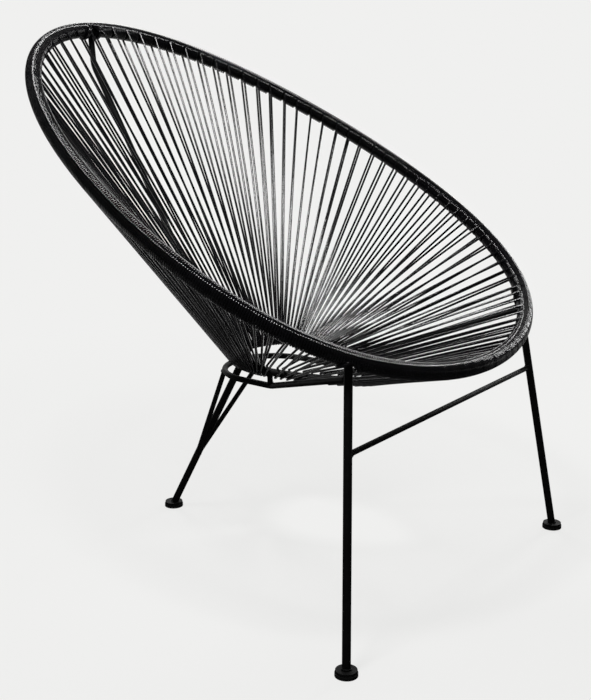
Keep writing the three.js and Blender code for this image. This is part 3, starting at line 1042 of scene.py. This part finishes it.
class CHAIR_OT_cord(bpy.types.Operator):
    """Winds the cord round the hoop and strings it to the seat ring"""

    bl_idname = "chair.cord"
    bl_label = "Cord panels"

    def execute(self, context):
        cord = context.scene.chair.cord
        stringing = Stringing()
        for panel in range(cord.panels):
            number = f"{panel + 1:02d}"
            piece = cord_mesh(f"strung_cord_{number}", stringing.run(panel), cord.diameter)
            dress(piece, piece.name, "black_cord", [f"cord_panel_{number}"])
        return {"FINISHED"}


class CHAIR_OT_hoop(bpy.types.Operator):
    """Bends the hoop's tube, which the cord hides"""

    bl_idname = "chair.hoop"
    bl_label = "Hoop"

    def execute(self, context):
        tube = closed_tube(hoop_points(turns_of(HOOP_SECTIONS)), context.scene.chair.hoop.tube_diameter)
        dress(tube, "bent_hoop", "powder_coated_steel", ["rim_hoop"])
        return {"FINISHED"}


class CHAIR_OT_ring(bpy.types.Operator):
    """Bends the seat ring"""

    bl_idname = "chair.ring"
    bl_label = "Seat ring"

    def execute(self, context):
        ring = closed_tube(ring_points(turns_of(RING_SECTIONS)), context.scene.chair.ring.rod_diameter)
        dress(ring, "bent_seat_ring", "powder_coated_steel", ["seat_ring"])
        return {"FINISHED"}


class CHAIR_OT_spine(bpy.types.Operator):
    """Bends the rod that runs down behind the back"""

    bl_idname = "chair.spine"
    bl_label = "Back spine"

    def execute(self, context):
        rods = context.scene.chair.frame
        top, upper, lower, rear = spine_corners()
        rod = RodBender(top, unit(upper - top), rods.spine_diameter)
        rod.bend_through(upper, lower, rods.spine_upper_bend)
        rod.bend_through(lower, rear, rods.spine_lower_bend)
        rod.feed_to(rear)
        dress(rod.finish(), "bent_spine", "powder_coated_steel", ["back_spine"])
        return {"FINISHED"}


class CHAIR_OT_loop(bpy.types.Operator):
    """Bends the support that passes behind the rear leg and rises to the front legs"""

    bl_idname = "chair.loop"
    bl_label = "Base loop"

    def execute(self, context):
        rods = context.scene.chair.frame
        start = point_at_height(front_leg_line(-1), rods.loop_arm_height)
        end = point_at_height(front_leg_line(1), rods.loop_arm_height)
        turn_start = loop_turn_point(-math.pi / 2)
        rod = RodBender(start, unit(loop_corner(-1) - start), rods.loop_diameter)
        rod.bend_through(loop_corner(-1), turn_start, rods.loop_bend)
        rod.feed_to(turn_start)
        centre = np.array((0, loop_turn_depth(), rods.loop_height))
        rod.bend_about(centre, np.array((0, 0, -1.0)), math.pi, LOOP_TURN_STEPS)
        rod.bend_through(loop_corner(1), end, rods.loop_bend)
        rod.feed_to(end)
        dress(rod.finish(), "bent_base_loop", "powder_coated_steel", ["base_loop"])
        return {"FINISHED"}


class CHAIR_OT_legs(bpy.types.Operator):
    """Makes the two front legs and the rear leg"""

    bl_idname = "chair.legs"
    bl_label = "Legs"

    def execute(self, context):
        rods = context.scene.chair.frame
        lines = {f"front_{name}": front_leg_line(side) for name, side in SIDES.items()}
        lines["rear"] = rear_leg_line()
        for name, line in lines.items():
            foot = point_at_height(line, foot_top() - rods.leg_seat)
            leg = straight_rod(foot, line[1], rods.leg_diameter)
            node = "rear_leg" if name == "rear" else name.replace("front", "front_leg")
            dress(leg, f"leg_{name}", "powder_coated_steel", [node])
        return {"FINISHED"}


class CHAIR_OT_supports(bpy.types.Operator):
    """Makes the stretcher, the rear braces and the ring posts"""

    bl_idname = "chair.supports"
    bl_label = "Stretcher, braces and posts"

    def execute(self, context):
        rods = context.scene.chair.frame
        left, right = (point_at_height(front_leg_line(side), rods.stretcher_height) for side in (1, -1))
        stretcher = straight_rod(left, right, rods.stretcher_diameter)
        dress(stretcher, "cross_stretcher", "powder_coated_steel", ["front_stretcher"])
        for name, side in SIDES.items():
            foot, on_loop = brace_line(side)
            brace = straight_rod(foot, on_loop, rods.brace_diameter)
            dress(brace, f"brace_{name}", "powder_coated_steel", [f"rear_brace_{name}"])
            on_ring, on_loop = post_line(side)
            post = straight_rod(on_ring, on_loop, rods.post_diameter)
            dress(post, f"post_{name}", "powder_coated_steel", [f"ring_post_{name}"])
        return {"FINISHED"}


def brace_line(side):
    rods = sizes().frame
    foot = point_at_height(rear_leg_line(), rods.brace_foot_height)
    return foot, loop_turn_point(side * rods.brace_loop_angle)


def post_line(side):
    """From the ring to the middle of the loop's bend."""
    rods = sizes().frame
    corner = loop_corner(side)
    arm = unit(point_at_height(front_leg_line(side), rods.loop_arm_height) - corner)
    back = unit(loop_turn_point(side * math.pi / 2) - corner)
    middle = unit(arm + back)
    half = math.acos(float(arm @ back)) / 2
    on_loop = corner + middle * rods.loop_bend * (1 / math.sin(half) - 1)
    return ring_points(np.array(side * rods.post_ring_angle)), on_loop


class CHAIR_OT_feet(bpy.types.Operator):
    """Makes the steel plates and the rubber pads"""

    bl_idname = "chair.feet"
    bl_label = "Feet"

    def execute(self, context):
        rods, foot = context.scene.chair.frame, context.scene.chair.foot
        plate = self.disc(foot, foot.plate_diameter, foot.pad_height + foot.gap, foot_top())
        pad = self.disc(foot, foot.pad_diameter, 0.0, foot.pad_height)
        places = {
            "front_left": (rods.foot_half_span, rods.front_foot_depth, 0),
            "front_right": (-rods.foot_half_span, rods.front_foot_depth, 0),
            "rear": (0, rods.rear_foot_depth, 0),
        }
        for name, place in places.items():
            self.copy(plate, place, f"plate_{name}", "powder_coated_steel", f"foot_plate_{name}")
            self.copy(pad, place, f"pad_{name}", "foot_rubber", f"foot_pad_{name}")
        for pattern in (plate, pad):
            bpy.data.objects.remove(pattern)
        return {"FINISHED"}

    def disc(self, foot, diameter, bottom, top):
        """A turned disc, rounded above, with a shallow recess below."""
        start_piece()
        bpy.ops.mesh.primitive_cylinder_add(
            vertices=64, radius=diameter / 2, depth=top - bottom, location=(0, 0, (top + bottom) / 2)
        )
        disc = bpy.context.object
        place_in_mesh()
        bpy.ops.object.mode_set(mode="EDIT")
        bpy.ops.mesh.select_mode(type="EDGE")
        select_points(disc, lambda co: abs(co.z - top) < 1e-5)
        bpy.ops.mesh.bevel(offset=foot.edge_radius, segments=5, affect="EDGES")
        bpy.ops.mesh.select_mode(type="FACE")
        bpy.ops.mesh.select_all(action="DESELECT")
        bpy.ops.object.mode_set(mode="OBJECT")
        for face in disc.data.polygons:
            face.select = face.normal.z < -0.9
        bpy.ops.object.mode_set(mode="EDIT")
        bpy.ops.mesh.inset(thickness=foot.recess_rim)
        bpy.ops.mesh.inset(thickness=foot.recess_wall)
        bpy.ops.transform.translate(value=(0, 0, foot.recess_depth))
        bpy.ops.mesh.select_mode(type="VERT")
        bpy.ops.object.mode_set(mode="OBJECT")
        bpy.ops.object.shade_smooth_by_angle(angle=math.radians(35))
        return disc

    def copy(self, pattern, place, name, slot, node):
        start_piece()
        piece = pattern.copy()
        piece.data = pattern.data.copy()
        bpy.context.scene.collection.objects.link(piece)
        piece.select_set(True)
        bpy.context.view_layer.objects.active = piece
        piece.location = place
        place_in_mesh()
        dress(piece, name, slot, [node])


class CHAIR_OT_welds(bpy.types.Operator):
    """Lays the weld beads where the rods meet"""

    bl_idname = "chair.welds"
    bl_label = "Weld beads"

    def execute(self, context):
        rods, ring = context.scene.chair.frame, context.scene.chair.ring
        joints = []
        for side in SIDES.values():
            leg, other_leg = front_leg_line(side), front_leg_line(-side)
            on_leg = point_at_height(leg, rods.stretcher_height)
            on_other = point_at_height(other_leg, rods.stretcher_height)
            joints.append((on_leg, on_other, rods.stretcher_diameter, rods.leg_diameter))
            arm_end = point_at_height(leg, rods.loop_arm_height)
            joints.append((arm_end, loop_corner(side), rods.loop_diameter, rods.leg_diameter))
            foot, on_loop = brace_line(side)
            joints.append((foot, on_loop, rods.brace_diameter, rods.leg_diameter))
            joints.append((on_loop, foot, rods.brace_diameter, rods.loop_diameter))
            on_ring, on_loop = post_line(side)
            joints.append((on_ring, on_loop, rods.post_diameter, ring.rod_diameter))
            joints.append((on_loop, on_ring, rods.post_diameter, rods.loop_diameter))
        beads = [self.between(*joint) for joint in joints]
        rear = rear_leg_line()
        for leg in (front_leg_line(1), front_leg_line(-1), rear):
            upward = unit(leg[1] - leg[0])
            beads.append(weld_bead(point_at_height(leg, foot_top()), upward, rods.leg_diameter))
        beads.append(weld_bead(rear[1] - rods.weld_drop * upward, upward, rods.leg_diameter))
        dress(joined(beads), "weld_beads", "powder_coated_steel")
        return {"FINISHED"}

    def between(self, joint, far_end, diameter, other_diameter):
        """The bead on a rod that starts at the joint, at the other rod's surface."""
        heading = unit(np.asarray(far_end) - joint)
        return weld_bead(joint + heading * other_diameter / 2, heading, diameter)


class CHAIR_PT_sidebar(bpy.types.Panel):
    """Lists the chair's pieces and sizes"""

    bl_idname = "CHAIR_PT_sidebar"
    bl_label = "Strung chair"
    bl_space_type = "VIEW_3D"
    bl_region_type = "UI"
    bl_category = "Chair"

    def draw(self, context):
        chair = context.scene.chair
        for operator in OPERATORS:
            self.layout.operator(operator.bl_idname)
        for group in chair.bl_rna.properties.keys():
            part = getattr(chair, group)
            if isinstance(part, bpy.types.PropertyGroup):
                box = self.layout.box()
                box.label(text=chair.bl_rna.properties[group].name)
                for name in part.__annotations__:
                    box.prop(part, name)


GROUPS = [HoopSizes, RingSizes, CordSizes, FrameSizes, FootSizes, Finishes, StudioSettings, ChairSettings]
OPERATORS = [
    CHAIR_OT_stage,
    CHAIR_OT_hoop,
    CHAIR_OT_cord,
    CHAIR_OT_ring,
    CHAIR_OT_spine,
    CHAIR_OT_loop,
    CHAIR_OT_legs,
    CHAIR_OT_supports,
    CHAIR_OT_feet,
    CHAIR_OT_welds,
]
CLASSES = [*GROUPS, *OPERATORS, CHAIR_PT_sidebar]


def register():
    for cls in CLASSES:
        bpy.utils.register_class(cls)
    bpy.types.Scene.chair = PointerProperty(type=ChairSettings)


def unregister():
    del bpy.types.Scene.chair
    for cls in reversed(CLASSES):
        bpy.utils.unregister_class(cls)


def main():
    register()
    for operator in OPERATORS:
        name = operator.bl_idname.split(".")[1]
        getattr(bpy.ops.chair, name)()


if __name__ == "__main__":
    main()
